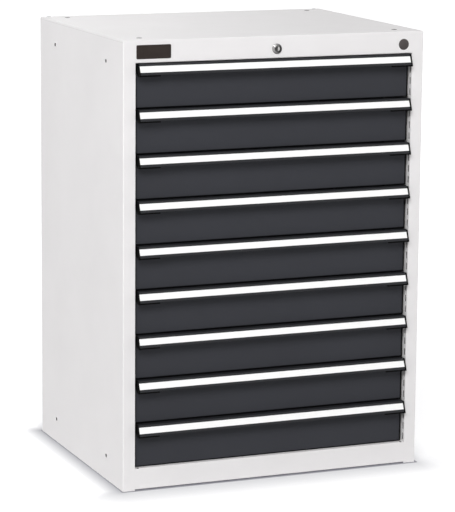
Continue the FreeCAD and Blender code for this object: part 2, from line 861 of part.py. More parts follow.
drawer_parts = {
    "box": drawer_box(),
    "front": drawer_front(),
    "handle": drawer_handle(),
    "label": [drawer_label()],
    "slides": both_sides(middle_member()),
}
for i in range(drawer_count):
    for part_name, solids in drawer_parts.items():
        save("drawer_%d_%s" % (i + 1, part_name), moved_up(solids, -i * drawer_pitch))
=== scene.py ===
import math

import bmesh
import bpy
from mathutils import Matrix, Vector


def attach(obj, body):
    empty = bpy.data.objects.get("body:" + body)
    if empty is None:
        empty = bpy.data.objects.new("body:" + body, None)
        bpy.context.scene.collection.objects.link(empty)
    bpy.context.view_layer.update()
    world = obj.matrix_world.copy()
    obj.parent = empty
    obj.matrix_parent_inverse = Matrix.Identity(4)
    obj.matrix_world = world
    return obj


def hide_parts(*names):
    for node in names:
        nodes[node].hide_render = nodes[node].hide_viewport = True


# A cabinet of folded sheet steel with nine drawers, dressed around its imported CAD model.
# X is right, Y is back, Z is up, and the housing stands on the floor at Z 0.
# Blender works in metres. Names that end in _mm or _MM hold millimetres. Meshes are built in millimetres and
# scaled as they are finished.

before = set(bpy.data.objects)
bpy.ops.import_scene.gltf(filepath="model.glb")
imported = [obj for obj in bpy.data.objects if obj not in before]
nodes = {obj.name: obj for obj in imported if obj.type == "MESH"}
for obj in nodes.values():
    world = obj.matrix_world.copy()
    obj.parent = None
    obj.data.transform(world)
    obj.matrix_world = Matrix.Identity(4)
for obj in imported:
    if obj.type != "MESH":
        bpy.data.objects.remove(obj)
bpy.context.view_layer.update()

MM = 0.001
DRAWERS = range(1, 10)
PITCH_MM = 100.0
LINE_MM = 950.0              # top of the opening, above the first drawer
MIDDLE_MM = 500.0            # half the height of the housing
TRAY_MM = 995.0              # lower edge of the top tray
FRONT_MM = -286.0            # front plane of the housing
FACE_MM = -274.0             # plane of the drawer faces
BACK_MM = 286.0
SHEET_MM = 1.5
REAR_LIP_MM = 20.0
HALF_WIDTH_MM = 358.5
HALF_OPENING_MM = 330.5
HALF_FACE_MM = 324.5
LOCK_Z_MM = 971.0
PLUG_X_MM = 309.5
PLUG_Z_MM = 970.5
AMBIENT = 0.36               # strength of the even light around


# Shader building blocks

def add(tree, kind, inputs=None, **settings):
    """A node with its settings, and its inputs linked or set."""
    made = tree.nodes.new(kind)
    for name, value in settings.items():
        setattr(made, name, value)
    for socket, value in (inputs or {}).items():
        if isinstance(value, bpy.types.NodeSocket):
            tree.links.new(value, made.inputs[socket])
        else:
            made.inputs[socket].default_value = value
    return made


def sums(tree, operation, a, b=0.0):
    """One step of arithmetic on two values."""
    return add(tree, "ShaderNodeMath", {0: a, 1: b}, operation=operation).outputs[0]


def product(tree, *values):
    """All values multiplied, as masks that hold together."""
    whole = values[0]
    for value in values[1:]:
        whole = sums(tree, "MULTIPLY", whole, value)
    return whole


def off(tree, value, middle):
    """How far a value lies from a middle, to either side."""
    return sums(tree, "ABSOLUTE", sums(tree, "SUBTRACT", value, middle))


def diagonal(tree, a, b):
    """Distance to a point that lies a along one axis and b along another."""
    square = sums(tree, "ADD", sums(tree, "MULTIPLY", a, a), sums(tree, "MULTIPLY", b, b))
    return sums(tree, "SQRT", square)


def mixed(tree, share, a, b):
    """Colour between a and b."""
    return add(tree, "ShaderNodeMix", {0: share, 6: a, 7: b}, data_type="RGBA").outputs[2]


def ranged(tree, value, low, high, to_low=0.0, to_high=1.0):
    """Value moved from one range to another, and held within it."""
    inputs = {"Value": value, "From Min": low, "From Max": high, "To Min": to_low, "To Max": to_high}
    return add(tree, "ShaderNodeMapRange", inputs).outputs["Result"]


def noise(tree, place, scale, detail=2.0, roughness=0.5):
    inputs = {"Vector": place, "Scale": scale, "Detail": detail, "Roughness": roughness}
    return add(tree, "ShaderNodeTexNoise", inputs).outputs["Fac"]


def split_place(tree, place):
    return add(tree, "ShaderNodeSeparateXYZ", {0: place}).outputs


def new_group(name, inputs, outputs):
    """Shader group with named sockets, its input node and its output node."""
    tree = bpy.data.node_groups.new(name, "ShaderNodeTree")
    tree.interface.new_socket("Place", in_out="INPUT", socket_type="NodeSocketVector")
    for label, value in inputs.items():
        tree.interface.new_socket(label, in_out="INPUT", socket_type="NodeSocketFloat").default_value = value
    for label in outputs:
        tree.interface.new_socket(label, in_out="OUTPUT", socket_type="NodeSocketFloat")
    return tree, tree.nodes.new("NodeGroupInput").outputs, tree.nodes.new("NodeGroupOutput").inputs


def powder_grain_group():
    """Orange peel and fine grain of a powder coat, with slow changes of tone."""
    sizes = {"Peel Size": 0.0022, "Grain Size": 0.0005, "Patch Size": 0.18}
    tree, start, end = new_group("powder grain", sizes, ["Height", "Tone", "Speckle"])
    peel = noise(tree, start["Place"], sums(tree, "DIVIDE", 1.0, start["Peel Size"]), 1.0)
    grain = noise(tree, start["Place"], sums(tree, "DIVIDE", 1.0, start["Grain Size"]), 2.0, 0.6)
    tone = noise(tree, start["Place"], sums(tree, "DIVIDE", 1.0, start["Patch Size"]), 3.0, 0.55)
    height = sums(tree, "ADD", sums(tree, "MULTIPLY", peel, 0.65), sums(tree, "MULTIPLY", grain, 0.35))
    tree.links.new(height, end["Height"])
    tree.links.new(ranged(tree, tone, 0.3, 0.7), end["Tone"])
    tree.links.new(ranged(tree, grain, 0.35, 0.65), end["Speckle"])
    return tree


def rubbed_edge_group():
    """Mask along outer edges, broken up as wear is."""
    tree, start, end = new_group("rubbed edge", {"Width": 0.0012, "Patch Size": 0.02}, ["Mask"])
    bevel = add(tree, "ShaderNodeBevel", {"Radius": start["Width"]}, samples=4)
    flat = add(tree, "ShaderNodeNewGeometry").outputs["True Normal"]
    inputs = {0: bevel.outputs["Normal"], 1: flat}
    turn = add(tree, "ShaderNodeVectorMath", inputs, operation="DOT_PRODUCT").outputs["Value"]
    edge = ranged(tree, turn, 0.985, 0.86)
    scale = sums(tree, "DIVIDE", 1.0, start["Patch Size"])
    patches = ranged(tree, noise(tree, start["Place"], scale, 4.0, 0.65), 0.42, 0.62)
    tree.links.new(sums(tree, "MULTIPLY", edge, patches), end["Mask"])
    return tree


def settled_dust_group():
    """Thin dust on what faces up, thicker in slow patches."""
    tree, start, end = new_group("settled dust", {"Patch Size": 0.12}, ["Mask"])
    normal = add(tree, "ShaderNodeNewGeometry").outputs["Normal"]
    up = ranged(tree, split_place(tree, normal)["Z"], 0.7, 1.0)
    scale = sums(tree, "DIVIDE", 1.0, start["Patch Size"])
    slow = ranged(tree, noise(tree, start["Place"], scale, 4.0, 0.6), 0.35, 0.75)
    cover = sums(tree, "MULTIPLY", slow, noise(tree, start["Place"], 900.0, 1.0))
    tree.links.new(sums(tree, "MULTIPLY", up, cover), end["Mask"])
    return tree


def drawn_lines_group():
    """Fine lines along X, as on extruded profile and drawn metal."""
    tree, start, end = new_group("drawn lines", {"Line Size": 0.0004, "Length": 0.05}, ["Height", "Tone"])
    x, y, z = split_place(tree, start["Place"])
    along = sums(tree, "DIVIDE", x, start["Length"])
    across = [sums(tree, "DIVIDE", axis, start["Line Size"]) for axis in (y, z)]
    place = add(tree, "ShaderNodeCombineXYZ", {0: along, 1: across[0], 2: across[1]}).outputs[0]
    lines = noise(tree, place, 1.0, 3.0, 0.6)
    tree.links.new(lines, end["Height"])
    tree.links.new(ranged(tree, lines, 0.3, 0.7), end["Tone"])
    return tree


def zinc_crystals_group():
    """Small crystals of zinc plate."""
    tree, start, end = new_group("zinc crystals", {"Crystal Size": 0.004}, ["Tone", "Height"])
    scale = sums(tree, "DIVIDE", 1.0, start["Crystal Size"])
    cells = add(tree, "ShaderNodeTexVoronoi", {"Vector": start["Place"], "Scale": scale})
    tree.links.new(add(tree, "ShaderNodeSeparateColor", {0: cells.outputs["Color"]}).outputs[0], end["Tone"])
    tree.links.new(noise(tree, start["Place"], 1500.0, 2.0), end["Height"])
    return tree


POWDER = powder_grain_group()
RUBBED = rubbed_edge_group()
DUST = settled_dust_group()
LINES = drawn_lines_group()
CRYSTALS = zinc_crystals_group()


def effect(tree, group, place, **sizes):
    """Outputs of one shader group, placed in a material with its own sizes."""
    made = add(tree, "ShaderNodeGroup", node_tree=group)
    tree.links.new(place, made.inputs["Place"])
    for name, value in sizes.items():
        made.inputs[name.replace("_", " ")].default_value = value
    return made.outputs


def new_material(name, **shader):
    """Material with one Principled shader: its tree, its shader and the Object coordinate."""
    material = bpy.data.materials.new(name)
    material.use_nodes = True
    tree = material.node_tree
    surface = tree.nodes["Principled BSDF"]
    for socket, value in shader.items():
        surface.inputs[socket.replace("_", " ")].default_value = value
    return material, tree, surface, add(tree, "ShaderNodeTexCoord").outputs["Object"]


def bump_into(tree, surface, height, depth):
    bump = add(tree, "ShaderNodeBump", {"Height": height, "Distance": depth, "Strength": 1.0})
    tree.links.new(bump.outputs["Normal"], surface.inputs["Normal"])


def seams_of_rails(tree, place):
    """Hairline where the rails meet the stiles on the front of the housing."""
    x, y, z = split_place(tree, place)
    from_stile = off(tree, sums(tree, "ABSOLUTE", x), HALF_OPENING_MM * MM)
    off_middle = off(tree, z, MIDDLE_MM * MM)
    at_rail = sums(tree, "GREATER_THAN", off_middle, (LINE_MM - MIDDLE_MM + 0.5) * MM)
    at_front = sums(tree, "LESS_THAN", y, (FRONT_MM + 0.3) * MM)
    return product(tree, ranged(tree, from_stile, 0.0006, 0.0001), at_rail, at_front)


def seams_and_shade_behind(tree, place):
    """Painted shade in the gap beside the rear lips, and the dark joint under the top tray on the sides and the
    back.
    """
    x, y, z = split_place(tree, place)
    side = sums(tree, "ABSOLUTE", x)
    behind = sums(tree, "GREATER_THAN", y, (BACK_MM - 2.5) * MM)
    on_side = sums(tree, "GREATER_THAN", side, (HALF_WIDTH_MM - 1.0) * MM)
    from_lip = off(tree, side, (HALF_WIDTH_MM - REAR_LIP_MM - 0.3) * MM)
    from_tray = off(tree, z, TRAY_MM * MM)
    lip = product(tree, ranged(tree, from_lip, 0.0011, 0.0004), behind)
    tray = product(tree, ranged(tree, from_tray, 0.0006, 0.0002), sums(tree, "MAXIMUM", on_side, behind), 0.25)
    return sums(tree, "MAXIMUM", lip, tray)


def walls_of_hole(tree, a, b, at_a_mm, at_b_mm, radius_mm):
    """1 inside a round column that stands on the plane of a and b."""
    away = diagonal(tree, sums(tree, "SUBTRACT", a, MM * at_a_mm), sums(tree, "SUBTRACT", b, MM * at_b_mm))
    return sums(tree, "LESS_THAN", away, MM * radius_mm)


def walls_of_slots(tree, side, y, z):
    """Cut walls of the slots in the uprights: whatever lies between the two faces of their webs."""
    front_end, rear_end = FRONT_MM + 3.0, BACK_MM - 16.0
    half_depth = (rear_end - front_end) / 2
    half_height = LINE_MM - MIDDLE_MM - 1.0
    off_web = off(tree, side, (HALF_OPENING_MM + SHEET_MM / 2) * MM)
    off_depth = off(tree, y, (front_end + half_depth) * MM)
    off_height = off(tree, z, MIDDLE_MM * MM)
    return product(tree, sums(tree, "LESS_THAN", off_web, 0.4 * SHEET_MM * MM),
                   sums(tree, "LESS_THAN", off_depth, half_depth * MM),
                   sums(tree, "LESS_THAN", off_height, half_height * MM))


def holes_painted_shade(tree, place):
    """Inner walls of the holes and the slots, painted dark as the shade inside them."""
    x, y, z = split_place(tree, place)
    side, depth = sums(tree, "ABSOLUTE", x), sums(tree, "ABSOLUTE", y)
    at_corners = walls_of_hole(tree, side, depth, 306.0, 242.0, radius_mm=6.65)
    at_rear = walls_of_hole(tree, side, y, 340.0, 277.0, radius_mm=5.15)
    in_side = walls_of_hole(tree, depth, off(tree, z, MIDDLE_MM * MM), 175.0, 445.0, radius_mm=4.15)
    top = product(tree, sums(tree, "MAXIMUM", at_corners, at_rear), sums(tree, "GREATER_THAN", z, 0.98))
    flank = product(tree, in_side, sums(tree, "GREATER_THAN", side, 0.35))
    return sums(tree, "MAXIMUM", sums(tree, "MAXIMUM", top, flank), walls_of_slots(tree, side, y, z))


def painted_steel(name, colour, deep, worn, dusty, peel_depth, dust_share, of_housing):
    """Powder coat over steel: its colour, a deeper tone, a rubbed edge and dust."""
    material, tree, surface, place = new_material(name, Specular_IOR_Level=0.2)
    grain = effect(tree, POWDER, place)
    rubbed = effect(tree, RUBBED, place)["Mask"]
    dust = effect(tree, DUST, place)["Mask"]
    base = mixed(tree, sums(tree, "MULTIPLY", grain["Tone"], 0.5), colour, deep)
    base = mixed(tree, sums(tree, "MULTIPLY", grain["Speckle"], 0.15), base, deep)
    base = mixed(tree, sums(tree, "MULTIPLY", rubbed, 0.35), base, worn)
    base = mixed(tree, sums(tree, "MULTIPLY", dust, dust_share), base, dusty)
    if of_housing:
        base = mixed(tree, sums(tree, "MULTIPLY", seams_of_rails(tree, place), 0.5), base, deep)
        # Painted shade beside the rear lips, and a dark joint under the top tray.
        gaps = sums(tree, "MULTIPLY", seams_and_shade_behind(tree, place), 0.75)
        base = mixed(tree, gaps, base, (0.10, 0.10, 0.10, 1))
        # Painted shade inside the holes and the slots.
        base = mixed(tree, holes_painted_shade(tree, place), base, (0.06, 0.06, 0.06, 1))
    tree.links.new(base, surface.inputs["Base Color"])
    rough = ranged(tree, grain["Tone"], 0.0, 1.0, 0.545, 0.555)
    rough = sums(tree, "ADD", rough, sums(tree, "MULTIPLY", dust, 0.03))
    tree.links.new(rough, surface.inputs["Roughness"])
    bump_into(tree, surface, grain["Height"], peel_depth)
    return material


def handle_finish():
    """Dark lacquer on extruded profile, with fine lines along it and paler rubbed edges."""
    material, tree, surface, place = new_material("handle lacquer", Specular_IOR_Level=0.2)
    lines = effect(tree, LINES, place)
    rubbed = effect(tree, RUBBED, place, Width=0.0007, Patch_Size=0.06)["Mask"]
    base = mixed(tree, lines["Tone"], (0.018, 0.0185, 0.0215, 1), (0.023, 0.024, 0.027, 1))
    base = mixed(tree, sums(tree, "MULTIPLY", rubbed, 0.3), base, (0.09, 0.09, 0.10, 1))
    tree.links.new(base, surface.inputs["Base Color"])
    tree.links.new(ranged(tree, lines["Tone"], 0.0, 1.0, 0.34, 0.44), surface.inputs["Roughness"])
    bump_into(tree, surface, lines["Height"], 0.00002)
    return material


def moulded_plastic(name, dark, pale, rough, level, grain_depth):
    """Moulded plastic with a fine eroded grain."""
    material, tree, surface, place = new_material(name, Specular_IOR_Level=level)
    grain = effect(tree, POWDER, place, Peel_Size=0.0009, Grain_Size=0.0003, Patch_Size=0.03)
    rubbed = effect(tree, RUBBED, place, Width=0.0005, Patch_Size=0.008)["Mask"]
    base = mixed(tree, grain["Tone"], dark, pale)
    base = mixed(tree, sums(tree, "MULTIPLY", rubbed, 0.35), base, tuple(3 * c for c in pale[:3]) + (1,))
    tree.links.new(base, surface.inputs["Base Color"])
    tree.links.new(ranged(tree, grain["Speckle"], 0.0, 1.0, rough, rough + 0.12), surface.inputs["Roughness"])
    bump_into(tree, surface, grain["Height"], grain_depth)
    return material


def label_card():
    """White card strip under a clear glossy film, with paper fibre and a slight wave of the film."""
    material, tree, surface, place = new_material("label card", Coat_Roughness=0.06, Coat_Weight=0.6)
    surface.inputs["Roughness"].default_value = 0.55
    fibre = noise(tree, place, 1800.0, 4.0, 0.7)
    slow = noise(tree, place, 9.0, 2.0)
    base = mixed(tree, ranged(tree, fibre, 0.3, 0.7), (0.95, 0.95, 0.945, 1), (0.92, 0.92, 0.915, 1))
    base = mixed(tree, ranged(tree, slow, 0.4, 0.8), base, (0.91, 0.91, 0.91, 1))
    tree.links.new(base, surface.inputs["Base Color"])
    bump_into(tree, surface, noise(tree, place, 60.0, 1.0), 0.00003)
    return material


def zinc_plate():
    """Passivated zinc on the runners and the lock linkage."""
    material, tree, surface, place = new_material("zinc plate", Metallic=1.0)
    crystals = effect(tree, CRYSTALS, place)
    lines = effect(tree, LINES, place, Line_Size=0.0015, Length=0.004)
    rubbed = effect(tree, RUBBED, place, Width=0.0008)["Mask"]
    base = mixed(tree, crystals["Tone"], (0.46, 0.47, 0.49, 1), (0.62, 0.63, 0.64, 1))
    base = mixed(tree, sums(tree, "MULTIPLY", rubbed, 0.5), base, (0.78, 0.78, 0.77, 1))
    tree.links.new(base, surface.inputs["Base Color"])
    rough = ranged(tree, crystals["Tone"], 0.0, 1.0, 0.30, 0.42)
    rough = sums(tree, "ADD", rough, ranged(tree, lines["Tone"], 0.0, 1.0, -0.04, 0.04))
    tree.links.new(rough, surface.inputs["Roughness"])
    bump_into(tree, surface, crystals["Height"], 0.00002)
    return material


def lock_chrome_painted_highlights():
    """Turned chrome of the lock: painted sheen and glint that go round its axis, painted shade in the groove
    and the keyway, and fine rings.
    """
    material, tree, surface, place = new_material("lock chrome, painted highlights", Metallic=1.0)
    groove = 0.0061                     # radius between the collar and the barrel
    x, y, z = split_place(tree, place)
    up = sums(tree, "SUBTRACT", z, LOCK_Z_MM * MM)
    radius = diagonal(tree, x, up)
    rings = add(tree, "ShaderNodeCombineXYZ", {0: sums(tree, "MULTIPLY", radius, 2600.0)}).outputs[0]
    fine_rings = noise(tree, rings, 1.0, 2.0)
    angle = sums(tree, "ARCTAN2", up, x)
    # Painted highlights: the collar lighter towards the left, a glint at its upper left, and the barrel lighter
    # to the right.
    collar = ranged(tree, sums(tree, "COSINE", sums(tree, "SUBTRACT", angle, 2.9)), -0.7, 0.9)
    painted_glint = ranged(tree, sums(tree, "COSINE", sums(tree, "SUBTRACT", angle, 2.25)), 0.90, 0.985)
    barrel = ranged(tree, sums(tree, "COSINE", angle), 0.0, 0.95)
    inside = ranged(tree, radius, groove, groove - 0.0002)
    # Painted shade: a dark ring in the groove between the collar and the barrel.
    edge = ranged(tree, off(tree, radius, groove), 0.0005, 0.0001)
    base = mixed(tree, collar, (0.055, 0.052, 0.052, 1), (0.50, 0.49, 0.49, 1))
    base = mixed(tree, painted_glint, base, (0.82, 0.81, 0.80, 1))
    base = mixed(tree, inside, base, mixed(tree, barrel, (0.10, 0.095, 0.095, 1), (0.90, 0.89, 0.87, 1)))
    base = mixed(tree, sums(tree, "MULTIPLY", edge, 0.8), base, (0.03, 0.03, 0.03, 1))
    base = mixed(tree, sums(tree, "MULTIPLY", fine_rings, 0.25), base, (0.20, 0.20, 0.20, 1))
    # Painted shade: darker on whatever lies deeper, behind the front of the lock.
    recess_painted_shade = ranged(tree, y, (FRONT_MM - 2.0) * MM, (FRONT_MM - 1.0) * MM)
    base = mixed(tree, recess_painted_shade, base, (0.05, 0.05, 0.05, 1))
    tree.links.new(base, surface.inputs["Base Color"])
    tree.links.new(ranged(tree, fine_rings, 0.2, 0.8, 0.16, 0.30), surface.inputs["Roughness"])
    bump_into(tree, surface, fine_rings, 0.00003)
    return material


HOUSING_COAT = painted_steel(
    "housing coat", colour=(0.80, 0.785, 0.79, 1), deep=(0.74, 0.725, 0.73, 1),
    worn=(0.88, 0.87, 0.86, 1), dusty=(0.70, 0.69, 0.67, 1),
    peel_depth=0.00006, dust_share=0.10, of_housing=True)
DRAWER_COAT = painted_steel(
    "drawer coat", colour=(0.036, 0.0375, 0.045, 1), deep=(0.031, 0.032, 0.038, 1),
    worn=(0.10, 0.10, 0.105, 1), dusty=(0.20, 0.20, 0.19, 1),
    peel_depth=0.00009, dust_share=0.12, of_housing=False)
HANDLE_LACQUER = handle_finish()
CAP_PLASTIC = moulded_plastic(
    "cap plastic", (0.0012, 0.0012, 0.0013, 1), (0.0025, 0.0025, 0.0028, 1),
    rough=0.5, level=0.05, grain_depth=0.00003)
PLUG_PLASTIC = moulded_plastic(
    "plug plastic", (0.048, 0.040, 0.040, 1), (0.070, 0.060, 0.060, 1),
    rough=0.40, level=0.3, grain_depth=0.00004)
PLATE_FINISH = moulded_plastic(
    "plate lacquer", (0.021, 0.014, 0.012, 1), (0.028, 0.020, 0.017, 1),
    rough=0.36, level=0.25, grain_depth=0.00001)
LABEL_CARD = label_card()
ZINC = zinc_plate()
LOCK_CHROME_PAINTED_HIGHLIGHTS = lock_chrome_painted_highlights()
# Near-black finish of the rivet stubs: painted shade of the mandrel hole.
STUB_PAINTED_SHADE = moulded_plastic(
    "stub steel, painted shade", (0.010, 0.010, 0.011, 1), (0.022, 0.022, 0.023, 1),
    rough=0.45, level=0.3, grain_depth=0.00003)


def finish_nodes():
    """Gives every CAD node its finish."""
    finishes = {"housing_paint": HOUSING_COAT, "drawer_paint": DRAWER_COAT, "handle_profile": HANDLE_LACQUER,
                "label": LABEL_CARD, "zinc_steel": ZINC, "lock_metal": LOCK_CHROME_PAINTED_HIGHLIGHTS, "plate": PLATE_FINISH,
                "plug_plastic": PLUG_PLASTIC}
    for node in nodes.values():
        slot = node.data.materials[0].name.split(".")[0]
        node.data.materials.clear()
        node.data.materials.append(finishes[slot])


finish_nodes()


# Mesh building blocks, in millimetres

def rounded_outline(corners, steps=4):
    """Closed outline from corners of (a, b, radius), each arc in a few steps."""
    points = []
    for i, (a, b, radius) in enumerate(corners):
        corner = Vector((a, b))
        before = Vector(corners[i - 1][:2]) - corner
        after = Vector(corners[(i + 1) % len(corners)][:2]) - corner
        half = before.angle(after) / 2
        if radius <= 0 or half > 1.5:
            points.append(corner)
            continue
        run = min(radius / math.tan(half), 0.45 * min(before.length, after.length))
        radius = run * math.tan(half)
        middle = corner + (before.normalized() + after.normalized()).normalized() * radius / math.sin(half)
        start = corner + before.normalized() * run - middle
        end = corner + after.normalized() * run - middle
        turn = start.angle_signed(end)
        for step in range(steps + 1):
            points.append(middle + Matrix.Rotation(-turn * step / steps, 2) @ start)
    return points


def prism(mesh, points, place, start, end):
    """Adds a solid with an outline to a bmesh; place(a, b, along) gives each point."""
    rings = [[mesh.verts.new(place(p[0], p[1], along)) for p in points] for along in (start, end)]
    count = len(points)
    faces = [mesh.faces.new(rings[0]), mesh.faces.new(rings[1])]
    for i in range(count):
        j = (i + 1) % count
        faces.append(mesh.faces.new((rings[0][i], rings[0][j], rings[1][j], rings[1][i])))
    bmesh.ops.recalc_face_normals(mesh, faces=faces)
    return faces


def in_side_view(a, b, along):
    """Point of an outline drawn over Y and Z, at an X."""
    return (along, a, b)


def in_plan(a, b, along):
    """Point of an outline drawn over X and Y, at a height."""
    return (a, b, along)


def soften(mesh, faces, width):
    """Rounds the sharp edges of some faces of a bmesh."""
    edges = {edge for face in faces for edge in face.edges}
    sharp = [edge for edge in edges if edge.calc_face_angle(0) > 0.6]
    bmesh.ops.bevel(mesh, geom=sharp, offset=width, offset_type="OFFSET", segments=2, profile=0.5,
                    affect="EDGES", clamp_overlap=True)


def finished(name, mesh, material, smooth_below=0.7):
    """Mesh datablock in metres from a bmesh in millimetres, with smooth arcs and sharp corners."""
    mesh.transform(Matrix.Scale(MM, 4))
    bmesh.ops.recalc_face_normals(mesh, faces=mesh.faces)
    data = bpy.data.meshes.new(name)
    mesh.to_mesh(data)
    mesh.free()
    data.materials.append(material)
    data.shade_smooth()
    data.set_sharp_from_angle(angle=smooth_below)
    return data


def turned(mesh, profile, x, z, steps):
    """Surface turned about an axis along Y at (x, z), from (radius, y) points that start on the axis."""
    spokes = [(math.cos(2 * math.pi * i / steps), math.sin(2 * math.pi * i / steps)) for i in range(steps)]
    centre = mesh.verts.new((x, profile[0][1], z))
    rings = [[mesh.verts.new((x + r * c, y, z + r * s)) for c, s in spokes] for r, y in profile[1:]]
    for i in range(steps):
        j = (i + 1) % steps
        mesh.faces.new((centre, rings[0][i], rings[0][j]))
        for near, far in zip(rings, rings[1:]):
            mesh.faces.new((near[i], near[j], far[j], far[i]))


def join_rings(mesh, rings):
    """Joins each ring of vertices to the next, and the last to the first."""
    count = len(rings[0])
    for near, far in zip(rings, rings[1:] + rings[:1]):
        for i in range(count):
            j = (i + 1) % count
            mesh.faces.new((near[i], near[j], far[j], far[i]))


def put(name, data, body, slot, *stood_for):
    """Adds a piece to the scene, on its body, and hides the nodes that it stands for. The slot is not used."""
    piece = bpy.data.objects.new(name, data)
    bpy.context.scene.collection.objects.link(piece)
    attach(piece, body)
    if stood_for:
        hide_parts(*stood_for)
    return piece


def on_every_drawer(part, data, slot, *stood_for):
    """Puts a copy of the top drawer's mesh on each drawer."""
    for n in DRAWERS:
        copy = data.copy()
        copy.transform(Matrix.Translation((0, 0, -(n - 1) * PITCH_MM * MM)))
        nodes_of_drawer = ["drawer_%d_%s" % (n, node) for node in stood_for]
        put("drawer_%d_%s" % (n, part), copy, "drawer_%d" % n, slot, *nodes_of_drawer)


# Handles

HALF_HANDLE_MM = 323.1
HALF_CAP_MM = 326.5
HANDLE_TOP_MM = LINE_MM - 1.5
BROW_Y_MM = FRONT_MM - 3.5   # top front edge of the handle
LIP_Y_MM = FRONT_MM - 14.0   # bottom front edge
SLOPE_MM = 24.1              # height of the sloping face
LIP_Z_MM = HANDLE_TOP_MM - SLOPE_MM
WALL_MM = 2.6


def down_slope(along, inward):
    """Point of the handle's section, measured down its slope and in from its surface."""
    down = Vector((LIP_Y_MM - BROW_Y_MM, -SLOPE_MM)).normalized()
    point = Vector((BROW_Y_MM, HANDLE_TOP_MM)) + along * down + inward * Vector((-down.y, down.x))
    return point.x, point.y


def slope_at(height, inward):
    """Y where the slope, set in by a distance, crosses a height."""
    (y0, z0), (y1, z1) = down_slope(0, inward), down_slope(1, inward)
    return y0 + (height - z0) * (y1 - y0) / (z1 - z0)


def handle_section():
    """Section of the handle: top, sloping face with the label groove, lip, and the leg on the drawer."""
    under, lip_top = HANDLE_TOP_MM - 2.0, LIP_Z_MM + 2.0
    rear_y, lip_end_y = FRONT_MM + 20.0, LIP_Y_MM + 6.0
    leg_y, leg_end = FACE_MM - 2.2, under - 18.0
    groove = [(4.9, 0, 0.25), (4.9, 0.5, 0), (4.1, 0.5, 0), (4.1, 1.1, 0),
              (20.2, 1.1, 0), (20.2, 0.5, 0), (19.4, 0.5, 0), (19.4, 0, 0.25)]
    corners = [(rear_y, HANDLE_TOP_MM, 0.4), (BROW_Y_MM, HANDLE_TOP_MM, 1.4)]
    corners += [down_slope(along, inward) + (radius,) for along, inward, radius in groove]
    corners += [(LIP_Y_MM, LIP_Z_MM, 1.4), (lip_end_y, LIP_Z_MM, 0.5), (lip_end_y, lip_top, 0.5),
                (slope_at(lip_top, WALL_MM), lip_top, 0.8), (slope_at(under, WALL_MM), under, 0.8),
                (leg_y, under, 0.8), (leg_y, leg_end, 0.5), (FACE_MM, leg_end, 0), (FACE_MM, under, 0),
                (rear_y, under, 0.4)]
    return rounded_outline(corners)


def build_handles():
    """Extruded profile of each handle, between its end caps."""
    mesh = bmesh.new()
    prism(mesh, handle_section(), in_side_view, -HALF_HANDLE_MM, HALF_HANDLE_MM)
    on_every_drawer("grip", finished("grip", mesh, HANDLE_LACQUER, 0.5), "handle_profile", "handle")


def build_end_caps():
    """Moulded caps at both ends of a handle, each with a tongue under the lip."""
    low, proud, tongue = LIP_Z_MM - 2.8, 0.4, 47.0
    tongue_y, rear_y = LIP_Y_MM + 1.6, FRONT_MM - 5.0
    side = [(FACE_MM, HANDLE_TOP_MM, 0.5), (BROW_Y_MM - proud, HANDLE_TOP_MM, 1.4),
            (LIP_Y_MM - proud, LIP_Z_MM, 3.0), (LIP_Y_MM - proud, low, 2.0),
            (rear_y, low, 1.0), (FACE_MM, LINE_MM - 17.0, 0.5)]
    mesh = bmesh.new()
    for way in (-1, 1):
        x0, x1 = sorted((way * HALF_CAP_MM, way * HALF_HANDLE_MM))
        soften(mesh, prism(mesh, rounded_outline(side), in_side_view, x0, x1), 0.45)
        end = way * (HALF_HANDLE_MM - tongue)
        root = way * (HALF_HANDLE_MM + 0.5)
        plan = [(root, tongue_y, 0), (end, tongue_y, 1.6), (end, rear_y, 1.6), (root, rear_y, 0)]
        soften(mesh, prism(mesh, rounded_outline(plan), in_plan, low, LIP_Z_MM), 0.3)
    on_every_drawer("end_caps", finished("end_caps", mesh, CAP_PLASTIC, 0.6), "handle_profile", "handle")


def build_front_shade_strips():
    """Thin black strip round the sides and the bottom of a drawer front, in its gap to the frame, where it
    stands for the shade in that gap.
    """
    bottom = LINE_MM - 98.5              # lower edge of the front
    low, step, high = bottom - 0.9, bottom + 0.3, bottom + 0.9
    lip_y, step_y, side_y, rear_y = FACE_MM - 0.3, FACE_MM + 0.2, FACE_MM + 1.2, FACE_MM + 12.0
    inner, outer = HALF_FACE_MM - 0.3, HALF_FACE_MM + 2.8
    mesh = bmesh.new()
    for way in (-1, 1):
        x0, x1 = sorted((way * inner, way * outer))
        plan = [(x0, side_y, 1.0), (x1, side_y, 1.0), (x1, rear_y, 1.0), (x0, rear_y, 1.0)]
        prism(mesh, rounded_outline(plan, 3), in_plan, low, LINE_MM - 27.5)
    side = [(lip_y, low, 0.2), (rear_y, low, 0.4), (rear_y, step, 0), (step_y, step, 0), (step_y, high, 0),
            (lip_y, high, 0.2)]
    prism(mesh, rounded_outline(side, 2), in_side_view, -inner, inner)
    # A dark sheet as painted shade in the gap round each front.
    on_every_drawer("front_seal", finished("front_seal", mesh, CAP_PLASTIC), "plug_plastic")


build_handles()
build_end_caps()
build_front_shade_strips()


# Rivets and screws

def geometry_tree(name, inputs):
    """Geometry tree with named inputs, its input node and its output node."""
    tree = bpy.data.node_groups.new(name, "GeometryNodeTree")
    for label, kind in inputs.items():
        tree.interface.new_socket(label, in_out="INPUT", socket_type="NodeSocket" + kind)
    tree.interface.new_socket("Geometry", in_out="OUTPUT", socket_type="NodeSocketGeometry")
    return tree, tree.nodes.new("NodeGroupInput").outputs, tree.nodes.new("NodeGroupOutput").inputs


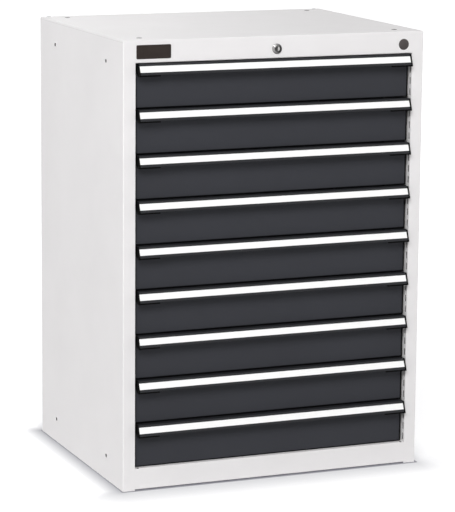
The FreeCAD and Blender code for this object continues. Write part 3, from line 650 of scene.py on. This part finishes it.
def head_grid_tree():
    """Rows and columns of low round heads, each a tapered flange with a stub in its middle."""
    kinds = {"Start": "Vector", "Row Step": "Vector", "Rows": "Int", "Column Step": "Vector",
             "Columns": "Int", "Radius": "Float", "Height": "Float", "Facing": "Vector",
             "Finish": "Material", "Stub Finish": "Material"}
    tree, start, end = geometry_tree("rows of heads", kinds)

    def shape(kind, inputs, **settings):
        return add(tree, "GeometryNode" + kind, inputs, **settings).outputs[0]

    def cone(sides, top, bottom, height, finish):
        inputs = {"Vertices": sides, "Radius Top": top, "Radius Bottom": bottom, "Depth": height}
        return shape("SetMaterial", {"Geometry": shape("MeshCone", inputs), "Material": finish})

    row = {"Count": start["Rows"], "Start Location": start["Start"], "Offset": start["Row Step"]}
    column = {"Count": start["Columns"], "Offset": start["Column Step"]}
    grid = shape("InstanceOnPoints", {"Points": shape("MeshLine", row, mode="OFFSET"),
                                      "Instance": shape("MeshLine", column, mode="OFFSET")})
    grid = shape("RealizeInstances", {0: grid})
    crown = sums(tree, "MULTIPLY", start["Radius"], 0.62)
    stub = sums(tree, "MULTIPLY", start["Radius"], 0.36)
    stub_top = sums(tree, "MULTIPLY", stub, 0.7)
    stub_height = sums(tree, "MULTIPLY", start["Height"], 1.25)
    flange = cone(14, crown, start["Radius"], start["Height"], start["Finish"])
    middle = cone(10, stub_top, stub, stub_height, start["Stub Finish"])
    head = add(tree, "GeometryNodeJoinGeometry", {0: flange})
    tree.links.new(middle, head.inputs[0])
    placed = {"Points": grid, "Instance": head.outputs[0], "Rotation": start["Facing"]}
    solid = shape("RealizeInstances", {0: shape("InstanceOnPoints", placed)})
    tree.links.new(solid, end["Geometry"])
    return tree


HEADS = head_grid_tree()
FACING_RIGHT = (0, math.pi / 2, 0)
FACING_LEFT = (0, -math.pi / 2, 0)
FACING_BACK = (-math.pi / 2, 0, 0)


def heads(start_mm, rows, row_step_mm, radius_mm, height_mm, facing, columns=1, column_step_mm=(0, 0, 0)):
    """Plain mesh of one grid of zinc heads, each with a stub in its middle, the mandrel, made dark as painted
    shade of its hole.
    """
    values = {"Start": [MM * c for c in start_mm], "Rows": rows, "Row Step": [MM * c for c in row_step_mm],
              "Columns": columns, "Column Step": [MM * c for c in column_step_mm],
              "Radius": MM * radius_mm, "Height": MM * height_mm, "Facing": facing,
              "Finish": ZINC, "Stub Finish": STUB_PAINTED_SHADE}
    holder = bpy.data.objects.new("heads", bpy.data.meshes.new("heads"))
    bpy.context.scene.collection.objects.link(holder)
    modifier = holder.modifiers.new("heads", "NODES")
    modifier.node_group = HEADS
    for item in HEADS.interface.items_tree:
        if item.in_out == "INPUT":
            modifier[item.identifier] = values[item.name]
    graph = bpy.context.evaluated_depsgraph_get()
    data = bpy.data.meshes.new_from_object(holder.evaluated_get(graph))
    bpy.data.objects.remove(holder)
    return data


def together(name, parts):
    """One mesh from several that share their finishes."""
    mesh = bmesh.new()
    for part in parts:
        mesh.from_mesh(part)
    data = bpy.data.meshes.new(name)
    mesh.to_mesh(data)
    mesh.free()
    for material in parts[0].materials:
        data.materials.append(material)
    data.shade_smooth()
    data.set_sharp_from_angle(angle=0.6)
    return data


def build_back_rivets():
    """Rivets through the rear lips of the sides, and along the top and the bottom of the back panel."""
    rivet = {"radius_mm": 4.8, "height_mm": 1.6, "facing": FACING_BACK}
    x = HALF_WIDTH_MM - 11.0
    lips = heads((-x, BACK_MM, 60), 2, (2 * x, 0, 0), columns=9, column_step_mm=(0, 0, 110), **rivet)
    panel_y = BACK_MM - SHEET_MM
    panel = heads((-270, panel_y, 22), 5, (135, 0, 0), columns=2, column_step_mm=(0, 0, 958), **rivet)
    put("back_rivets", together("back_rivets", [lips, panel]), "housing", "zinc_steel")


def build_drawer_rivets():
    """Rivets that hold the rails on each tub, and screws that hold its front."""
    rivet = {"radius_mm": 3.2, "height_mm": 1.2}
    screw = {"radius_mm": 4.0, "height_mm": 2.0}
    wall_x, rail_y, rail_z = 306.8, -226, LINE_MM - 62.5
    left = heads((-wall_x, rail_y, rail_z), 5, (0, 98, 0), facing=FACING_RIGHT, **rivet)
    right = heads((wall_x, rail_y, rail_z), 5, (0, 98, 0), facing=FACING_LEFT, **rivet)
    front = heads((-255, FACE_MM + 2.4, LINE_MM - 64), 4, (170, 0, 0), facing=FACING_BACK, **screw)
    on_every_drawer("rivets", together("rivets", [left, right, front]), "zinc_steel")


build_back_rivets()
build_drawer_rivets()


# Nameplate border

def build_plate_border():
    """Fine raised border round the bare nameplate."""
    x0, x1, z0, z1 = -328.5, -249.0, 959.0, 989.2       # the plate's outline
    face, ridge, corner = FRONT_MM - 0.8, FRONT_MM - 1.05, 2.6
    mesh = bmesh.new()
    rings = []
    for inset, y in ((0.9, face), (1.1, ridge), (1.7, ridge), (1.9, face)):
        radius = max(corner - inset, 0.7)
        corners = [(x0 + inset, z0 + inset, radius), (x1 - inset, z0 + inset, radius),
                   (x1 - inset, z1 - inset, radius), (x0 + inset, z1 - inset, radius)]
        rings.append([mesh.verts.new((p[0], y, p[1])) for p in rounded_outline(corners, 5)])
    join_rings(mesh, rings)
    put("nameplate_border", finished("nameplate_border", mesh, PLATE_FINISH), "housing", "plate")


build_plate_border()


# Lock, plug and buffers

def build_cover_plug():
    """Domed plug with a rolled rim and a clip stem."""
    face = FRONT_MM - 2.5
    dome = [(0, 0), (3, 0.1), (6, 0.4), (8.5, 0.83), (10.4, 1.3), (11.4, 1.65), (12.1, 2.0), (12.5, 2.35)]
    stem = [(12.5, 0), (9.8, 0), (9.9, 4), (9.4, 9), (8.6, 9), (8.6, 0.8), (0.01, 0.8)]
    profile = [(radius, face + y) for radius, y in dome] + [(radius, FRONT_MM + y) for radius, y in stem]
    mesh = bmesh.new()
    turned(mesh, profile, PLUG_X_MM, PLUG_Z_MM, 44)
    data = finished("cover_plug_dome", mesh, PLUG_PLASTIC)
    put("cover_plug_dome", data, "housing", "plug_plastic", "cover_plug")


def build_lock_collar():
    """Turned ring on the collar of the lock, with a rolled edge and a groove round the barrel."""
    face, steps = FRONT_MM - 2.5, 56
    section = [(6.15, face + 0.1), (6.35, face - 0.25), (6.7, face - 0.35), (7.0, face - 0.2),
               (7.3, face - 0.15), (9.6, face - 0.35), (10.3, face - 0.2), (10.85, face + 0.25),
               (11.15, face + 0.9), (11.15, FRONT_MM), (10.9, FRONT_MM), (6.15, FRONT_MM)]
    spokes = [(math.cos(2 * math.pi * i / steps), math.sin(2 * math.pi * i / steps)) for i in range(steps)]
    mesh = bmesh.new()
    rings = [[mesh.verts.new((r * c, y, LOCK_Z_MM + r * s)) for c, s in spokes] for r, y in section]
    join_rings(mesh, rings)
    put("lock_collar_ring", finished("lock_collar_ring", mesh, LOCK_CHROME_PAINTED_HIGHLIGHTS), "housing", "lock_metal")


def build_lock_face():
    """Dished face of the barrel, cut by the keyway."""
    face, rim, steps = FRONT_MM - 2.35, 5.85, 48
    half_keyway_w, half_keyway_h = 0.7, 3.75
    # Each ring lies at a share of the way from the keyway out to the rim.
    dish = [(1.0, face + 0.4), (1.0, face - 0.1), (0.93, face - 0.22), (0.8, face - 0.12),
            (0.0, face), (0.0, face + 0.4)]
    mesh = bmesh.new()
    rings = []
    for share, y in dish:
        ring = []
        for i in range(steps):
            t = 2 * math.pi * (i + 0.5) / steps
            keyway = min(half_keyway_w / abs(math.cos(t)), half_keyway_h / abs(math.sin(t)))
            radius = keyway + (rim - keyway) * share
            ring.append(mesh.verts.new((radius * math.cos(t), y, LOCK_Z_MM + radius * math.sin(t))))
        rings.append(ring)
    join_rings(mesh, rings)
    put("lock_barrel_face", finished("lock_barrel_face", mesh, LOCK_CHROME_PAINTED_HIGHLIGHTS, 0.5), "lock_core", "lock_metal")


def build_ledge_buffers():
    """Small rubber buffers at both ends of the ledge below the lowest drawer."""
    y, radius = FRONT_MM + 3.1, 2.7
    turns = [math.pi * i / 10 for i in range(20)]
    mesh = bmesh.new()
    for x in (-322.8, 322.8):
        disc = [(x + radius * math.cos(t), y + radius * math.sin(t)) for t in turns]
        soften(mesh, prism(mesh, disc, in_plan, 49.8, 50.45), 0.15)
    put("ledge_buffers", finished("ledge_buffers", mesh, CAP_PLASTIC), "housing", "plug_plastic")


build_cover_plug()
build_lock_collar()
build_lock_face()
build_ledge_buffers()


# Floor, light and camera

def outside(tree, value, half_mm):
    """How far a value lies outside the housing, and 0 within it."""
    return sums(tree, "MAXIMUM", sums(tree, "SUBTRACT", sums(tree, "ABSOLUTE", value), half_mm * MM), 0.0)


def floor_shadow(tree, x, y, away):
    """Share of shadow on the floor: narrow and deep at the left, wider and paler in front, dark at the foot."""
    left = product(tree, ranged(tree, x, -0.34, -0.36), ranged(tree, y, -0.31, -0.27))
    reach = ranged(tree, left, 0.0, 1.0, 0.095, 0.044)
    depth = ranged(tree, left, 0.0, 1.0, 0.49, 0.80)
    near = ranged(tree, sums(tree, "DIVIDE", away, reach), 1.0, 0.0)
    soft = product(tree, near, depth, ranged(tree, x, 0.36, 0.40, 1.0, 0.5))
    foot_reach = ranged(tree, left, 0.0, 1.0, 0.009, 0.0045)
    foot = ranged(tree, sums(tree, "DIVIDE", away, foot_reach), 1.0, 0.6)
    return sums(tree, "MAXIMUM", soft, sums(tree, "MULTIPLY", foot, 0.95))


def floor_material():
    """Pale floor: white to the camera away from the housing, with its shadow kept, and clear from below."""
    material = bpy.data.materials.new("pale floor")
    material.use_nodes = True
    tree = material.node_tree
    tree.nodes.clear()

    def shader(kind, inputs=None):
        return add(tree, "ShaderNode" + kind, inputs).outputs[0]

    x, y = split_place(tree, add(tree, "ShaderNodeTexCoord").outputs["Object"])[:2]
    away = diagonal(tree, outside(tree, x, HALF_WIDTH_MM), outside(tree, y, BACK_MM))
    glow = mixed(tree, ranged(tree, away, 0.2, 2.5), (0.80, 0.80, 0.80, 1), (1.0, 1.0, 1.0, 1))
    glow = mixed(tree, floor_shadow(tree, x, y, away), glow, (0.0, 0.0, 0.02, 1))
    lit = shader("BsdfDiffuse", {"Color": (0.30, 0.30, 0.31, 1)})
    seen = shader("AddShader", {0: lit, 1: shader("Emission", {"Color": glow, "Strength": 1.0})})

    # Painted light: for rays other than the camera's, the floor glows under the housing and lights its
    # underside.
    glow_under_housing = product(tree, ranged(tree, sums(tree, "ABSOLUTE", x), 0.35, 0.34),
                      ranged(tree, sums(tree, "ABSOLUTE", y), 0.277, 0.267), 0.4)
    plain = shader("BsdfDiffuse", {"Color": (0.82, 0.82, 0.82, 1)})
    plain = shader("AddShader", {0: plain, 1: shader("Emission", {"Strength": glow_under_housing})})

    to_camera = add(tree, "ShaderNodeLightPath").outputs["Is Camera Ray"]
    from_below = add(tree, "ShaderNodeNewGeometry").outputs["Backfacing"]
    above = shader("MixShader", {0: to_camera, 1: plain, 2: seen})
    whole = shader("MixShader", {0: from_below, 1: above, 2: shader("BsdfTransparent")})
    tree.links.new(whole, add(tree, "ShaderNodeOutputMaterial").inputs["Surface"])
    return material


def build_floor():
    """Large floor just under the housing's feet."""
    mesh = bmesh.new()
    lowered = Matrix.Translation((0, 0, -0.0004))
    bmesh.ops.create_grid(mesh, x_segments=1, y_segments=1, size=30.0, matrix=lowered)
    data = bpy.data.meshes.new("floor")
    mesh.to_mesh(data)
    mesh.free()
    data.materials.append(floor_material())
    floor = bpy.data.objects.new("floor", data)
    bpy.context.scene.collection.objects.link(floor)


def build_world():
    """Even studio light, and a white background where the camera or a reflection sees it."""
    world = bpy.data.worlds.new("studio")
    bpy.context.scene.world = world
    world.use_nodes = True
    tree = world.node_tree
    tree.nodes.clear()
    path = add(tree, "ShaderNodeLightPath")
    seen = sums(tree, "MAXIMUM", path.outputs["Is Camera Ray"], path.outputs["Is Glossy Ray"])
    seen = sums(tree, "MAXIMUM", seen, path.outputs["Is Transmission Ray"])
    soft = add(tree, "ShaderNodeBackground", {"Color": (1, 1, 1, 1), "Strength": AMBIENT})
    white = add(tree, "ShaderNodeBackground", {"Color": (1, 1, 1, 1), "Strength": 1.0})
    either = add(tree, "ShaderNodeMixShader", {0: seen, 1: soft.outputs[0], 2: white.outputs[0]})
    output = add(tree, "ShaderNodeOutputWorld")
    tree.links.new(either.outputs[0], output.inputs["Surface"])


def build_lamp(name, place, size, power):
    """Square soft light that points at the middle of the housing."""
    light = bpy.data.lights.new(name, "AREA")
    light.size = size
    light.energy = power
    lamp = bpy.data.objects.new(name, light)
    bpy.context.scene.collection.objects.link(lamp)
    lamp.location = place
    ahead = Vector((0, 0, MIDDLE_MM * MM)) - Vector(place)
    lamp.rotation_euler = ahead.to_track_quat("-Z", "Y").to_euler()


def build_camera():
    """Camera fitted to the corners of the housing in the photo."""
    place = Vector((-2.2123, -5.4015, 1.5678))
    yaw, pitch, roll = 0.38931, 0.18008, 0.00823
    ahead = Vector((math.sin(yaw) * math.cos(pitch), math.cos(yaw) * math.cos(pitch), -math.sin(pitch)))
    level = Vector((math.cos(yaw), -math.sin(yaw), 0))
    upright = level.cross(ahead)
    right = math.cos(roll) * level + math.sin(roll) * upright
    up = math.cos(roll) * upright - math.sin(roll) * level
    data = bpy.data.cameras.new("camera")
    data.lens = 179.06
    data.sensor_width = 36.0
    data.shift_y = -0.04
    data.clip_end = 100.0
    camera = bpy.data.objects.new("camera", data)
    bpy.context.scene.collection.objects.link(camera)
    axes = Matrix((right, up, -ahead)).transposed().to_4x4()
    camera.matrix_world = Matrix.Translation(place) @ axes
    bpy.context.scene.camera = camera


build_floor()
build_world()
build_lamp("front light", (-4.2, -7.0, 6.2), size=4.0, power=665)
build_lamp("left light", (-7.7, -0.6, 2.2), size=4.5, power=95)
build_lamp("right light", (7.6, -0.6, 2.0), size=4.5, power=145)
build_lamp("back light", (0.6, 7.6, 2.0), size=4.5, power=160)
build_camera()
bpy.context.scene.view_settings.view_transform = "Standard"
